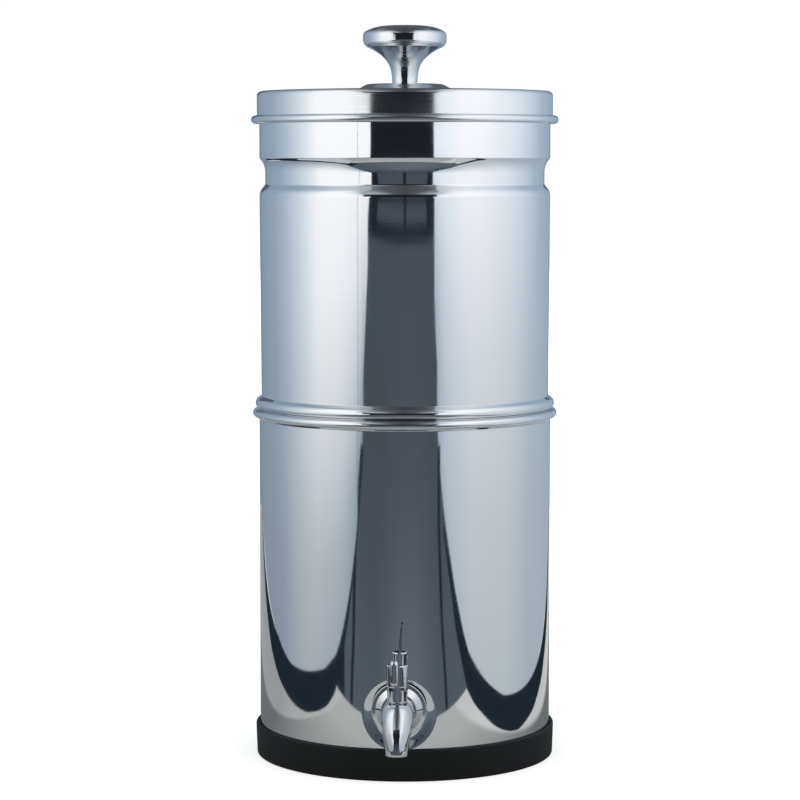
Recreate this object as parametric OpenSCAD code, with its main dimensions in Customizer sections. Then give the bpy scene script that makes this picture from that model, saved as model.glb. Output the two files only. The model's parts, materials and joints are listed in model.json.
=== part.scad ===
// Countertop gravity water filter: two nested steel chambers, a lid with a mushroom knob,
// two ceramic filter candles and a quarter-turn ball-valve tap.
// Millimetres. The origin is on the vessel's axis at counter level, +Z is up and the tap faces -Y.

/* [Vessel] */
// Outer radius of the lower chamber's wall
chamber_r = 108; // [100:1:130]
// Thickness of the steel sheet
sheet = 0.8; // [0.6:0.1:1.2]
// Height above the counter at which the upper chamber sits on the lower one
seat_z = 258.1; // [235:0.1:320]
// Height of the upper chamber from that seat to its top edge
upper_h = 232.2; // [225:0.1:300]
// How far the upper chamber's foot reaches down into the lower chamber
foot_drop = 26.1; // [18:0.1:34]
// Gap between the upper chamber's foot and the lower chamber's wall
nest_gap = 1.6; // [1:0.1:3]
// How much slimmer the upper wall is than the lower one, just above the joint
upper_inset = 1.65; // [1:0.05:2.2]
// How much the upper wall widens again on its way up
upper_flare = 0.85; // [0:0.05:1]
// Outer radius of the rounded corner between a chamber's floor and its wall
floor_round = 6; // [3:0.5:12]

/* [Rims] */
// How far the lower chamber's rolled rim stands out from its wall
rim_out = 4.8; // [3.5:0.1:7]
// Radius of the rim's rounded nose
rim_nose_r = 3.2; // [2:0.1:3.4]
// Height of the rim, from its foot on the wall to its flat top
rim_h = 7.6; // [7:0.1:10]
// How far the upper chamber's bead stands out from its own wall
bead_out = 4.5; // [3.5:0.1:7]
// Height of the bead, from its flat underside to its top on the wall
bead_h = 9.6; // [9.4:0.1:12]
// Radius of the bead's nose on its underside
bead_nose_r = 3.8; // [3:0.1:4]
// Radius of the bead's back, from the nose up to the wall
bead_back_r = 5; // [4:0.1:5]
// Radius of the rolled-in edge at the top of the upper chamber
edge_roll_r = 1.8; // [1.2:0.1:2.5]

/* [Groove] */
// Height of the pressed groove's middle above the seat
groove_mid = 170.8; // [120:0.1:195]
// Height of the groove, measured where it leaves the wall
groove_w = 27.4; // [22:0.2:36]
// Depth of the groove
groove_d = 4.2; // [2:0.1:5]
// Tilt of the groove's two flanks away from the wall
groove_tilt = 38; // [30:1:45]
// Radius of the soft shoulder below the groove
groove_shoulder_r = 8; // [2:0.5:9]

/* [Base ring] */
// Height of the rubber base ring
ring_h = 23; // [16:0.2:34]
// Thickness of the ring outside the steel wall
ring_wall = 2.95; // [2:0.05:5]
// Gap between the ring and the steel wall
ring_gap = 0.3; // [0.2:0.05:0.6]
// Thickness of the ledge that the lower chamber stands on
ledge_t = 5; // [4:0.5:9]
// How far the ledge reaches in under the chamber
ledge_w = 18; // [14:1:30]
// Radius of the ring's rounded upper edge
ring_edge_r = 1.2; // [0.6:0.1:1.8]

/* [Lid] */
// Gap between the upper chamber's wall and the lid's skirt
lid_gap = 0.95; // [0.5:0.05:2]
// Height of the lid's skirt, from its lower edge to the lid's top corner
skirt_h = 23.7; // [18:0.1:34]
// Radius of the rolled bead round the skirt's lower edge
lid_bead_r = 3; // [2.4:0.05:4]
// Radius of the lid's top corner
lid_corner_r = 3.4; // [3:0.1:7]
// How much the lid's top rises from its corner to the foot of the centre boss
lid_rise = 1.5; // [0.5:0.1:4]
// Radius of the centre boss where it meets the top
boss_foot_r = 37; // [32:1:50]
// Radius of the boss's flat top
boss_r = 26; // [18:1:28]
// Height of the boss
boss_h = 4; // [2:0.1:8]

/* [Knob] */
// Height of the knob above the boss
knob_h = 42.8; // [34:0.2:60]
// Radius of the knob's head
knob_r = 30.6; // [26:0.2:38]
// Radius of the knob's neck at its foot
knob_neck_r = 9.2; // [7.5:0.1:11]
// Height of the flared stalk under the head
knob_stalk_h = 27; // [20:0.5:29]
// Height of the upright band round the head
knob_band_h = 4; // [2:0.2:5]
// Radius of the knob's screw
knob_screw_r = 3; // [2.5:0.1:4]
// Depth of the screw hole in the knob
knob_bore_l = 16; // [10:1:18]

/* [Filter candles] */
// Radius of a ceramic candle
candle_r = 25; // [20:0.5:26]
// Height of a ceramic candle
candle_h = 172; // [130:1:174]
// Wall thickness of a ceramic candle
candle_wall = 8; // [5:0.5:11]
// Distance of each candle's and each plug's axis from the outside of the upper chamber's foot
candle_inset = 53.6; // [48:0.1:55]
// Height of the cup that holds a candle
cup_h = 14; // [10:0.5:20]
// Thickness of the cup's wall and of its floor
cup_wall = 3; // [2:0.5:4]
// Radius of the threaded stem under a cup
stem_r = 5.9; // [5:0.1:7]
// Length of that stem below the chamber's floor
stem_l = 26; // [20:1:32]
// Radius of the water way through a stem
stem_bore_r = 3; // [2:0.1:3.5]
// Radius of the two floor plugs' heads
plug_r = 11; // [9:0.5:14]
// Thickness of the rubber washers under cups and plugs
washer_t = 2; // [1:0.1:3]
// Width of the rubber washer round a candle's stem
washer_w = 6; // [4:0.5:8]
// Height of the hexagon nuts on the plugs
plug_nut_h = 6; // [4:0.5:9]

/* [Tap mounting] */
// Height of the tap's axis above the counter
tap_z = 52; // [45:1:90]
// Radius of the threaded inlet shank
shank_r = 8; // [7.5:0.1:8.5]
// Radius of the water way through the shank and the ball
tap_bore_r = 4; // [3:0.1:4.4]
// Radius of the wall rosette
rosette_r = 19.6; // [17:0.1:26]
// Thickness of the rosette
rosette_t = 5; // [4:0.1:8]
// Radius of the raised cone on the rosette's face
rosette_cone_r = 16.8; // [15:0.1:17.5]
// Thickness of the rosette's gasket on the tap's centre line
gasket_t = 1.5; // [1:0.1:3]
// Width across the flats of the back nut
nut_flats = 24; // [20:0.5:32]
// Thickness of the back nut
nut_t = 6; // [4:0.5:10]

/* [Tap body] */
// Distance from the chamber's wall to the tap's upright stem
stem_out = 32; // [30:0.5:44]
// Radius of the tap's barrel
barrel_r = 11.75; // [11:0.05:13]
// Radius of the bend from the barrel down into the spout
bend_r = 21; // [20:0.1:22]
// Distance of the mouth's centre in front of the upright stem
mouth_reach = 15; // [14.5:0.1:16]
// Height from the mouth's centre up to the tap's axis
mouth_drop = 23.8; // [22:0.1:30]
// Lean of the spout's centre line at the mouth, away from the upright
spout_lean = 12; // [8:1:16]
// Tilt of the mouth's face, away from level
mouth_tilt = 5; // [0:1:8]
// Radius of the spout just above its mouth
spout_r = 7.8; // [7.4:0.1:8.2]
// Radius of the spout's water way at the mouth
mouth_bore_r = 4.9; // [4.5:0.1:5.2]
// Radius of the bonnet under the handle
bonnet_r = 7.3; // [6.8:0.1:8.5]
// Height from the tap's axis to the joint between body and bonnet
neck_h = 12.2; // [12:0.1:15]
// Height of the bonnet up to its lower step
bonnet_h = 8.2; // [7:0.1:14]

/* [Valve] */
// Radius of the ball
ball_r = 6; // [5.6:0.1:6.2]
// Radius of the valve stem where the bonnet guides it
spindle_r = 3.95; // [3.5:0.05:4.2]
// Radius of the O-ring's cross-section
o_ring_r = 0.65; // [0.5:0.05:0.8]

/* [Handle] */
// Radius of the handle's hub
hub_r = 7.5; // [6.8:0.1:9]
// Height of the hub above its shallow side
hub_h = 15; // [12:0.5:22]
// Height of the step between the hub's deep and shallow sides, which stops the quarter turn
step_h = 2.6; // [1.6:0.1:4]
// Angle that the handle turns through
turn_deg = 90; // [60:5:100]
// Angle of the deep sector round the hub
deep_deg = 134; // [100:2:140]
// Width of the rounded rib on the hub's front
rib_w = 5.6; // [3:0.1:6]
// How far the rib's rounded head stands above the hub
rib_rise = 4; // [0.5:0.1:5]
// Radius of the neck on the hub that holds the blade
neck_r = 4.9; // [4.2:0.1:5.4]
// Height of that neck
slot_neck_h = 9; // [7:0.5:14]
// Sideways offset of the neck from the stem's axis
neck_off = 1.9; // [0:0.1:2.4]
// Thickness of the blade
blade_t = 1.6; // [1.2:0.1:2.2]
// Height of the blade above the neck
blade_h = 20; // [14:0.5:34]
// Width of the blade at its tip
blade_w = 13; // [9:0.5:18]
// Width of the blade where it leaves the neck
blade_root_w = 7; // [5:0.5:7.5]
// How far the blade bows sideways over its height
blade_bow = 0.8; // [0:0.1:1.6]

/* [Fits] */
// Running clearance round the turning stem and ball
run_gap = 0.05; // [0.02:0.01:0.08]
// Clearance round parts that are screwed or pushed together
push_gap = 0.1; // [0.05:0.01:0.2]
// Clearance between faces that pass each other
pass_gap = 0.2; // [0.1:0.05:0.4]
// Clearance round a bolt or stem in a hole in sheet steel
hole_gap = 0.3; // [0.2:0.05:0.6]

/* [Hidden] */
$fn = 96;
steel = "#cfd2d6";
chrome = "#b9bdc4";
rubber = "#1c1c1e";
silicone = "#8d9096";
ceramic = "#f2efe6";
plastic = "#e6e6e3";
ptfe = "#f7f7f5";
brass = "#c8a765";

// Vessel
chamber_in_r = chamber_r - sheet;
foot_r = chamber_in_r - nest_gap;
pitch_r = foot_r - candle_inset;
upper_r = chamber_r - upper_inset;
top_r = upper_r + upper_flare;
rim_top_z = seat_z + upper_h;
upper_floor_z = seat_z - foot_drop;
groove_low_z = seat_z + groove_mid - groove_w / 2;
groove_high_z = seat_z + groove_mid + groove_w / 2;
groove_hollow_r = 2;
groove_cove_r = 6;
bead_nose = [upper_r + bead_out, seat_z + bead_nose_r + 0.1];

// Base ring
ring_in_r = chamber_r + ring_gap;
ring_r = ring_in_r + ring_wall;
ring_draft = 0.8;
ring_foot_round = 1;

// Lid
skirt_in_r = top_r + lid_gap;
skirt_r = skirt_in_r + sheet;
lid_under_z = rim_top_z + hole_gap;
lid_top_z = lid_under_z + sheet;
lid_bottom_z = lid_top_z - skirt_h;
boss_z = lid_top_z + lid_rise + boss_h;
lid_bead_out = 1.25;

// Knob
knob_top_z = boss_z + knob_h;
knob_band_z = boss_z + knob_stalk_h + 4.5;
knob_washer_r = 9;
knob_washer_t = 1.2;
knob_head_r = 5.5;
knob_head_h = 3;

// Filter candles
cup_r = candle_r + push_gap + cup_wall;
cup_z = upper_floor_z + sheet + washer_t;
shell_z = cup_z + cup_wall;
wing_nut_r = 10;
wing_nut_h = 9;
wing_span = 17;
plug_stem_r = 5;
plug_stem_l = 16;
plug_head_h = 5;

// Tap mounting, with distances measured outwards from the chamber's wall
gasket_r = rosette_r - 1.2;
rosette_front = gasket_t + rosette_t;
flange_t = 1.4;
flange_round = 0.6;
inner_washer_t = 3.2;
inner_washer_r = nut_flats / 2 + 1.5;
nut_out = -sheet - inner_washer_t;
shank_in = nut_out - nut_t - 4;

// Tap body
stem_y = -(chamber_r + stem_out);
collar_r = barrel_r + 1.25;
collar_t = 2;
seat_ring_r = ball_r + 0.3;
seat_near = 4;
seat_far = ball_r + 0.4;
chamber_bore_r = seat_ring_r + push_gap;
shank_tip = stem_out - seat_far - push_gap;
mouth_out = stem_out + mouth_reach;
mouth_z = tap_z - mouth_drop;
mouth_bore_h = 9;
bend_deg = 90 - spout_lean;
bend_out = mouth_out - bend_r * sin(bend_deg)
    - (mouth_drop - bend_r * (1 - cos(bend_deg))) * tan(spout_lean);
spout_start_r = barrel_r - push_gap;
spout_bend_r = spout_r + 0.7;
lip_out = 0.3;
lip_h = 2;
bend_steps = 12;
spout_sides = 40;
body_top_z = tap_z + neck_h;

// Valve stem and bonnet
stop_z = body_top_z + bonnet_h;
spindle_collar_r = spindle_r + 0.65;
spindle_collar_h = 1.5;
neck_bore_r = spindle_collar_r + 0.4;
spigot_z = body_top_z - 3.4;
spindle_collar_z = spigot_z - spindle_collar_h - pass_gap;
tang_t = 3;
tang_z = tap_z + ball_r - 2.2;
o_ring_z = body_top_z + 2.6;
spindle_top_r = 3;
spindle_top_z = stop_z + step_h + hub_h - 4;
stop_slack_deg = 0.5;
raised_deg = 360 - turn_deg - deep_deg;
step_edge_deg = -95;
stop_ring_in_r = 4.6;

// Handle
hub_z = stop_z + step_h + pass_gap;
hub_top_z = hub_z + hub_h;
rib_off = 1.8;
neck_top_z = hub_top_z + slot_neck_h;
slot_z = hub_top_z + 1.4;
slot_x = neck_off + 0.5;
rivet_r = 1;
rivet_z = hub_top_z + 5;
grub_r = 1.5;
grub_z = hub_z + 9;

// Points of an arc round c with radius r, from angle a0 to angle a1
function arc(c, r, a0, a1, n = 8) =
    [for (i = [0:n]) c + r * [cos(a0 + (a1 - a0) * i / n), sin(a0 + (a1 - a0) * i / n)]];

// An S-shaped blend from point a to point b, level at both ends
function blend(a, b, n = 8) =
    [for (i = [0:n]) [a.x + (b.x - a.x) * i / n, a.y + (b.y - a.y) * (1 - cos(180 * i / n)) / 2]];

// Moves a shape drawn along +Z onto the tap's axis, with Z as the distance out from the wall
module on_tap_axis(out = 0) {
    translate([0, -chamber_r - out, tap_z]) rotate([90, 0, 0]) children();
}

// Moves a shape onto the tap's upright stem
module on_stem(z = 0) {
    translate([0, stem_y, z]) children();
}

// A sector of a disc, from angle a0 through angle a
module sector(r, a0, a, h) {
    rotate([0, 0, a0]) rotate_extrude(angle = a) square([r, h]);
}

// A flat ring
module washer(r_out, r_in, t) {
    difference() {
        cylinder(r = r_out, h = t);
        translate([0, 0, -1]) cylinder(r = r_in, h = t + 2);
    }
}

// A rod whose upper end is chamfered by c
module chamfered_rod(r, h, c) {
    rotate_extrude() polygon([[0, 0], [r, 0], [r, h - c], [r - c, h], [0, h]]);
}

// ---- Base and lower chamber ----

module base_ring() {
    color(rubber) rotate_extrude() polygon(concat(
        [[chamber_r - ledge_w, 0]],
        [[ring_r - ring_draft - ring_foot_round, 0], [ring_r - ring_draft, ring_foot_round]],
        arc([ring_r - ring_edge_r, ring_h - ring_edge_r], ring_edge_r, 0, 90),
        [[ring_in_r, ring_h], [ring_in_r, ledge_t], [chamber_r - ledge_w, ledge_t]]));
}

// The wall turns out at the rim's foot, round the nose and back to a flat top
function rim_outline() = concat(
    [[chamber_r, seat_z - rim_h]],
    arc([chamber_r + rim_out - rim_nose_r, seat_z - rim_nose_r], rim_nose_r, -70, 90, 12));

module lower_chamber() {
    corner = [chamber_r - floor_round, ledge_t + floor_round];
    color(steel) difference() {
        rotate_extrude() polygon(concat(
            [[0, ledge_t]], arc(corner, floor_round, -90, 0), rim_outline(),
            [[chamber_in_r, seat_z]], arc(corner, floor_round - sheet, 0, -90),
            [[0, ledge_t + sheet]]));
        on_tap_axis(-sheet - 5) cylinder(r = shank_r + hole_gap, h = sheet + 10);
    }
}

// ---- Tap mounting ----

// The gasket is flat against the rosette and hollowed to the chamber's wall at the back
module tap_gasket() {
    color(rubber) difference() {
        on_tap_axis(-4) cylinder(r = gasket_r, h = gasket_t + 4);
        cylinder(r = chamber_r + push_gap / 2, h = seat_z, $fn = 256);
        on_tap_axis(-5) cylinder(r = shank_r + push_gap, h = gasket_t + 10);
    }
}

// The rosette is a thin flange with a rounded edge and a cone that rises to the tap's collar
module tap_rosette() {
    color(chrome) on_tap_axis(gasket_t) rotate_extrude() polygon(concat(
        [[shank_r + push_gap, 0], [rosette_r, 0]],
        arc([rosette_r - flange_round, flange_t - flange_round], flange_round, 0, 80, 5),
        [[rosette_cone_r, flange_t + 0.3], [collar_r - 0.1, rosette_t], [shank_r + push_gap, rosette_t]]));
}

module tap_shank() {
    color(brass) on_tap_axis(shank_in) difference() {
        union() {
            cylinder(r1 = shank_r - 1, r2 = shank_r, h = 1);
            translate([0, 0, 1]) cylinder(r = shank_r, h = shank_tip - shank_in - 1);
        }
        translate([0, 0, -1]) cylinder(r = tap_bore_r, h = shank_tip - shank_in + 2);
    }
}

// The inner washer is flat against the nut and rounded to the inside of the wall
module tap_inner_washer() {
    color(silicone) difference() {
        intersection() {
            on_tap_axis(nut_out) cylinder(r = inner_washer_r, h = inner_washer_t + sheet);
            cylinder(r = chamber_in_r - push_gap / 2, h = seat_z, $fn = 256);
        }
        on_tap_axis(nut_out - 1) cylinder(r = shank_r + push_gap, h = inner_washer_t + 4);
    }
}

module tap_back_nut() {
    color(plastic) on_tap_axis(nut_out - nut_t) difference() {
        cylinder(r = nut_flats / 2 / cos(30), h = nut_t, $fn = 6);
        translate([0, 0, -1]) cylinder(r = shank_r + push_gap, h = nut_t + 2);
    }
}

// ---- Tap body ----

// Rings of the spout: [distance out, height, slope angle, radius]
function spout_rings() = concat(
    [[bend_out - 3, tap_z, 0, spout_start_r]],
    [for (i = [0:bend_steps]) let (u = i / bend_steps, a = bend_deg * u)
        [bend_out + bend_r * sin(a), tap_z - bend_r * (1 - cos(a)), a,
         spout_start_r + (spout_bend_r - spout_start_r) * pow(u, 1.33)]],
    [[mouth_out - lip_h / 2 * sin(mouth_tilt), mouth_z + lip_h / 2 * cos(mouth_tilt),
      90 - mouth_tilt, spout_r]]);

// One point of a ring, at angle a round it
function ring_point(ring, a) = [
    ring[3] * cos(a),
    -(chamber_r + ring[0] + ring[3] * sin(a) * sin(ring[2])),
    ring[1] + ring[3] * sin(a) * cos(ring[2])];

// The tapering bend from the barrel down to the mouth, swept through its rings
module spout_skin() {
    rings = spout_rings();
    n = spout_sides;
    last = len(rings) - 1;
    polyhedron(
        points = [for (ring = rings, k = [0:n - 1]) ring_point(ring, 360 * k / n)],
        faces = concat(
            [for (j = [0:last - 1], k = [0:n - 1]) let (m = (k + 1) % n)
                [j * n + k, (j + 1) * n + k, (j + 1) * n + m]],
            [for (j = [0:last - 1], k = [0:n - 1]) let (m = (k + 1) % n)
                [j * n + k, (j + 1) * n + m, j * n + m]],
            [[for (k = [0:n - 1]) k]],
            [[for (k = [n - 1:-1:0]) last * n + k]]));
}

// Moves a shape to the point p of the tap's middle plane, given as [distance out, height]
module on_way(p) {
    translate([0, -chamber_r - p.x, p.y]) children();
}

// Moves a shape onto the mouth's centre, with +Z up along the mouth's axis
module on_mouth() {
    on_way([mouth_out, mouth_z]) rotate([-mouth_tilt, 0, 0]) children();
}

// The rounded lip of the mouth
module mouth_lip() {
    round_r = 0.7;
    on_mouth() rotate_extrude() polygon(concat(
        [[0, 0]], arc([spout_r + lip_out - round_r, round_r], round_r, -90, 0, 4),
        [[spout_r + lip_out, lip_h - 0.6], [spout_r - 0.2, lip_h], [0, lip_h]]));
}

// The water way runs on past the ball and then falls, at a slant, to the wider bore of the mouth
module tap_body() {
    fall_top = [stem_out + mouth_reach - 5.4, tap_z];
    fall = [mouth_out, mouth_z] + (mouth_bore_h - 1.8) * [-sin(mouth_tilt), cos(mouth_tilt)] - fall_top;
    color(chrome) difference() {
        union() {
            on_tap_axis(rosette_front) chamfered_rod(collar_r, collar_t, 0.6);
            on_tap_axis(rosette_front) cylinder(r = barrel_r, h = bend_out + 1 - rosette_front);
            on_stem(tap_z) cylinder(r = bonnet_r - 0.1, h = neck_h);
            spout_skin();
            mouth_lip();
        }
        on_tap_axis(rosette_front - 1)
            cylinder(r = shank_r + push_gap, h = shank_tip + 1 - rosette_front);
        on_tap_axis(shank_tip - 1)
            cylinder(r = chamber_bore_r, h = stem_out + seat_far + pass_gap + 1 - shank_tip);
        on_stem(tap_z) cylinder(r = neck_bore_r, h = neck_h + 1);
        on_tap_axis(stem_out) cylinder(r = tap_bore_r, h = mouth_reach - 5);
        on_way(fall_top) rotate([atan2(fall.x, fall.y), 0, 0])
            cylinder(r = tap_bore_r + 0.2, h = norm(fall));
        on_mouth() translate([0, 0, -1]) cylinder(r = mouth_bore_r, h = mouth_bore_h + 1);
    }
}

// Two rings, hollowed to the ball, seal it on both sides
module ball_seats() {
    color(ptfe) for (side = [-1, 1]) on_tap_axis(stem_out) scale([1, 1, side]) difference() {
        translate([0, 0, seat_near]) cylinder(r = seat_ring_r, h = seat_far - seat_near);
        sphere(r = ball_r + run_gap);
        cylinder(r = tap_bore_r, h = seat_far + 1);
    }
}

// The bonnet screws into the body and holds the stem down; its raised sector stops the handle
module tap_bonnet() {
    color(chrome) on_stem() difference() {
        union() {
            translate([0, 0, spigot_z])
                cylinder(r = neck_bore_r - push_gap, h = body_top_z - spigot_z + 1);
            translate([0, 0, body_top_z])
                cylinder(r1 = bonnet_r - 0.3, r2 = bonnet_r, h = bonnet_h + step_h);
        }
        translate([0, 0, spigot_z - 1]) cylinder(r = spindle_r + run_gap, h = stop_z - spigot_z + 2);
        translate([0, 0, stop_z]) cylinder(r = stop_ring_in_r, h = step_h + 1);
        translate([0, 0, stop_z]) sector(bonnet_r + 1, step_edge_deg - stop_slack_deg,
            360 - raised_deg + 2 * stop_slack_deg, step_h + 1);
    }
}

// ---- Valve ----

module valve_ball() {
    color(steel) on_stem(tap_z) difference() {
        sphere(r = ball_r);
        rotate([0, 90, 0]) translate([0, 0, -ball_r - 1])
            cylinder(r = tap_bore_r - 0.4, h = 2 * ball_r + 2);
        translate([-ball_r, -tang_t / 2 - push_gap, tang_z - tap_z - push_gap])
            cube([2 * ball_r, tang_t + 2 * push_gap, ball_r]);
    }
}

// The stem drives the ball through a flat tang; its collar stays under the bonnet
module valve_stem() {
    groove_r = spindle_r - 2 * o_ring_r - push_gap / 2;
    color(brass) on_stem() difference() {
        union() {
            translate([0, 0, tang_z]) intersection() {
                cylinder(r = seat_near - pass_gap, h = spindle_collar_z - tang_z + 0.5);
                translate([-10, -tang_t / 2, 0]) cube([20, tang_t, spindle_collar_z - tang_z + 0.5]);
            }
            translate([0, 0, spindle_collar_z]) cylinder(r = spindle_collar_r, h = spindle_collar_h);
            translate([0, 0, spindle_collar_z]) cylinder(r = spindle_r, h = stop_z - spindle_collar_z);
            translate([0, 0, stop_z - 1]) cylinder(r = spindle_top_r, h = spindle_top_z - stop_z + 1);
        }
        translate([0, 0, o_ring_z - o_ring_r - push_gap]) difference() {
            cylinder(r = spindle_r + 1, h = 2 * (o_ring_r + push_gap));
            translate([0, 0, -1]) cylinder(r = groove_r, h = 2 * (o_ring_r + push_gap) + 2);
        }
    }
}

module stem_o_ring() {
    color(rubber) on_stem(o_ring_z) rotate_extrude()
        translate([spindle_r - o_ring_r, 0]) circle(r = o_ring_r);
}

// ---- Handle ----

// The hub's deep sector runs in the free part of the bonnet's step, and its rib marks the front
module tap_handle() {
    color(chrome) on_stem() difference() {
        union() {
            translate([0, 0, stop_z + pass_gap]) chamfered_rod(hub_r, hub_h + step_h, 0.6);
            hub_rib();
            translate([neck_off, 0, hub_top_z - 1]) chamfered_rod(neck_r, slot_neck_h + 1, 0.5);
        }
        translate([0, 0, stop_z])
            cylinder(r = spindle_top_r + push_gap, h = spindle_top_z - stop_z + push_gap);
        translate([0, 0, stop_z]) cylinder(r = stop_ring_in_r, h = hub_z - stop_z);
        translate([0, 0, stop_z]) sector(hub_r + 1, step_edge_deg + deep_deg - stop_slack_deg,
            360 - deep_deg + 2 * stop_slack_deg, hub_z - stop_z);
        translate([slot_x - blade_t / 2 - push_gap, -blade_root_w / 2 - push_gap, slot_z])
            cube([blade_t + 2 * push_gap, blade_root_w + 2 * push_gap, slot_neck_h]);
        translate([neck_off - neck_r - 1, 0, rivet_z]) rotate([0, 90, 0])
            cylinder(r = rivet_r + push_gap, h = 2 * neck_r + 2);
        translate([0, 0, grub_z]) rotate([-90, 0, 0]) cylinder(r = grub_r + push_gap, h = hub_r + 1);
    }
}

// A rounded rib up the front of the hub, ending in a domed head
module hub_rib() {
    rib_y = -hub_r + rib_w / 2 - 1.8;
    foot_z = hub_z + 3;
    head_z = hub_top_z + rib_rise - rib_w / 2;
    translate([-rib_off, rib_y, foot_z]) cylinder(r = rib_w / 2, h = head_z - foot_z);
    for (z = [foot_z, head_z]) translate([-rib_off, rib_y, z]) sphere(r = rib_w / 2);
}

// Sideways place of the blade's middle, u being 0 at its foot and 1 at its tip
function blade_mid(u) = slot_x + blade_bow * (u * u - 0.6 * sin(180 * u) * (1 - u));

// The blade is a thin plate that widens to a rounded tip and bows a little sideways
module handle_blade() {
    foot_z = slot_z + push_gap;
    free_z = neck_top_z;
    tip_z = free_z + blade_h;
    round_r = 3.5;
    steps = 10;
    centre = [for (i = [0:steps]) [blade_mid(i / steps), free_z + blade_h * i / steps]];
    side = concat(
        [[slot_x - blade_t / 2, foot_z]], [for (p = centre) p - [blade_t / 2, 0]],
        [for (i = [steps:-1:0]) centre[i] + [blade_t / 2, 0]], [[slot_x + blade_t / 2, foot_z]]);
    face = concat(
        [[-blade_root_w / 2, foot_z], [blade_root_w / 2, foot_z], [blade_root_w / 2, free_z + 2]],
        arc([blade_w / 2 - round_r, tip_z - round_r], round_r, 0, 90),
        arc([-blade_w / 2 + round_r, tip_z - round_r], round_r, 90, 180),
        [[-blade_root_w / 2, free_z + 2]]);
    color(steel) on_stem() difference() {
        intersection() {
            translate([0, blade_w, 0]) rotate([90, 0, 0]) linear_extrude(2 * blade_w) polygon(side);
            translate([-10, 0, 0]) rotate([90, 0, 90]) linear_extrude(20) polygon(face);
        }
        translate([slot_x - blade_t, 0, rivet_z]) rotate([0, 90, 0])
            cylinder(r = rivet_r + push_gap, h = 2 * blade_t);
    }
}

module handle_rivet() {
    color(steel) on_stem(rivet_z) translate([neck_off - neck_r - 0.3, 0, 0]) rotate([0, 90, 0])
        cylinder(r = rivet_r, h = 2 * neck_r + 0.6);
}

module handle_grub_screw() {
    color(steel) on_stem(grub_z) rotate([-90, 0, 0]) difference() {
        translate([0, 0, spindle_top_r + push_gap]) cylinder(r = grub_r, h = hub_r - spindle_top_r - 0.6);
        translate([0, 0, hub_r - 2]) cylinder(r = 0.8, h = 3, $fn = 6);
    }
}

// ---- Upper chamber ----

// The bead: a flat underside, a rounded nose and a rounded back that meets the wall in a crease
function bead_outline() = concat(
    [[foot_r, seat_z], [chamber_r, seat_z]],
    arc(bead_nose - [bead_nose_r, 0], bead_nose_r, -75, 0),
    arc(bead_nose - [bead_back_r, 0], bead_back_r, 0, 60),
    [[upper_r, seat_z + bead_h]]);

// Height over which a flank of the groove runs, with its corners rounded by radii that add up to r
function flank_h(r) = groove_d / tan(groove_tilt) + r * tan(groove_tilt / 2);

// The groove's outer outline from below: soft shoulder, flank, floor, cove, flank, crisp corner
function groove_outline() =
    let (floor_r = top_r - groove_d,
         floor_low = groove_low_z + flank_h(groove_shoulder_r + groove_hollow_r),
         floor_high = groove_high_z - flank_h(groove_cove_r))
    concat(arc([top_r - groove_shoulder_r, groove_low_z], groove_shoulder_r, 0, groove_tilt),
        arc([floor_r + groove_hollow_r, floor_low], groove_hollow_r, 180 + groove_tilt, 180, 4),
        arc([floor_r + groove_cove_r, floor_high], groove_cove_r, 180, 180 - groove_tilt, 6),
        [[top_r, groove_high_z]]);

module upper_chamber() {
    corner = [foot_r - floor_round, upper_floor_z + floor_round];
    roll = [top_r - edge_roll_r, rim_top_z - edge_roll_r];
    groove = groove_outline();
    color(steel) difference() {
        rotate_extrude() polygon(concat(
            [[0, upper_floor_z]], arc(corner, floor_round, -90, 0), bead_outline(), groove,
            arc(roll, edge_roll_r, 0, 200, 12), [[top_r - sheet, rim_top_z - 2 * edge_roll_r - 1]],
            [for (i = [len(groove) - 1:-1:0]) groove[i] - [sheet, 0]],
            [[upper_r - sheet, seat_z + bead_h], [foot_r - sheet, seat_z]],
            arc(corner, floor_round - sheet, 0, -90), [[0, upper_floor_z + sheet]]));
        for (side = [-1, 1]) {
            translate([side * pitch_r, 0, upper_floor_z - 1])
                cylinder(r = stem_r + hole_gap, h = sheet + 2);
            translate([0, side * pitch_r, upper_floor_z - 1])
                cylinder(r = plug_stem_r + hole_gap, h = sheet + 2);
        }
    }
}

// ---- Filter candles ----

// A hollow ceramic tube with a domed end
module candle_shell(side) {
    in_r = candle_r - candle_wall;
    dome_z = candle_h - candle_r;
    color(ceramic) translate([side * pitch_r, 0, shell_z]) rotate_extrude() polygon(concat(
        [[in_r, 0], [candle_r, 0]], arc([0, dome_z], candle_r, 0, 90, 12),
        arc([0, dome_z], in_r, 90, 0, 12)));
}

// The cup that the candle is bonded into, with its threaded stem
module candle_cup(side) {
    color(plastic) translate([side * pitch_r, 0, cup_z]) difference() {
        union() {
            cylinder(r = cup_r, h = cup_h);
            translate([0, 0, -washer_t - sheet - stem_l])
                cylinder(r = stem_r, h = washer_t + sheet + stem_l + 1);
        }
        translate([0, 0, cup_wall]) cylinder(r = candle_r + push_gap, h = cup_h);
        translate([0, 0, -washer_t - sheet - stem_l - 1])
            cylinder(r = stem_bore_r, h = washer_t + sheet + stem_l + cup_wall + 2);
    }
}

module candle_washers() {
    color(silicone) for (side = [-1, 1]) translate([side * pitch_r, 0, cup_z - washer_t])
        washer(stem_r + washer_w, stem_r + push_gap, washer_t);
}

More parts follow.
